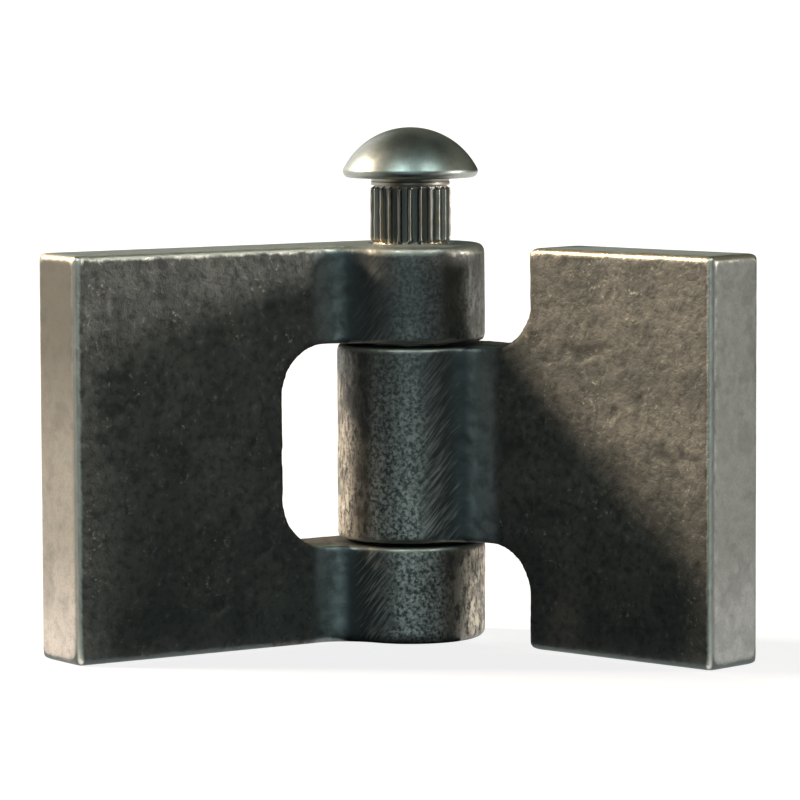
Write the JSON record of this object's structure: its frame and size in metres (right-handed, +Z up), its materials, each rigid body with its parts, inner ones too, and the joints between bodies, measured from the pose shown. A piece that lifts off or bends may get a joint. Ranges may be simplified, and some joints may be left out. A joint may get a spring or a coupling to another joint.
{
  "type": "vehicle door hinge",
  "caption": "Forged steel weld-on leaf hinge: thick plain leaves with interlocking knuckles swing about a domed, knurled drop-in pin.",
  "frame": {"origin": "on the pin axis, level with the lower edges that the hinge stands on", "axes": "+Z up along the pin towards its head, +Y out of the two-knuckle leaf's weld face, -X along that leaf"},
  "size_m": [0.0699, 0.0576, 0.0656],
  "materials": {
    "leaf_steel": "dark forge scale, worn bright on edges and knuckles",
    "pin_steel": "satin bare steel"
  },
  "bodies": {
    "body_leaf": {"two_knuckle_leaf": "leaf_steel"},
    "door_leaf": {"single_knuckle_leaf": "leaf_steel"},
    "pin": {"hinge_pin": "pin_steel"}
  },
  "joints": [
    {"name": "leaf_swing", "type": "hinge", "parent": "body_leaf", "child": "door_leaf", "pos_m": [0, 0, 0], "axis": [0, 0, 1], "range_deg": [-103, 167]},
    {"name": "pin_lift", "type": "slide", "parent": "body_leaf", "child": "pin", "axis": [0, 0, 1], "range_m": [0, 0.046]}
  ]
}
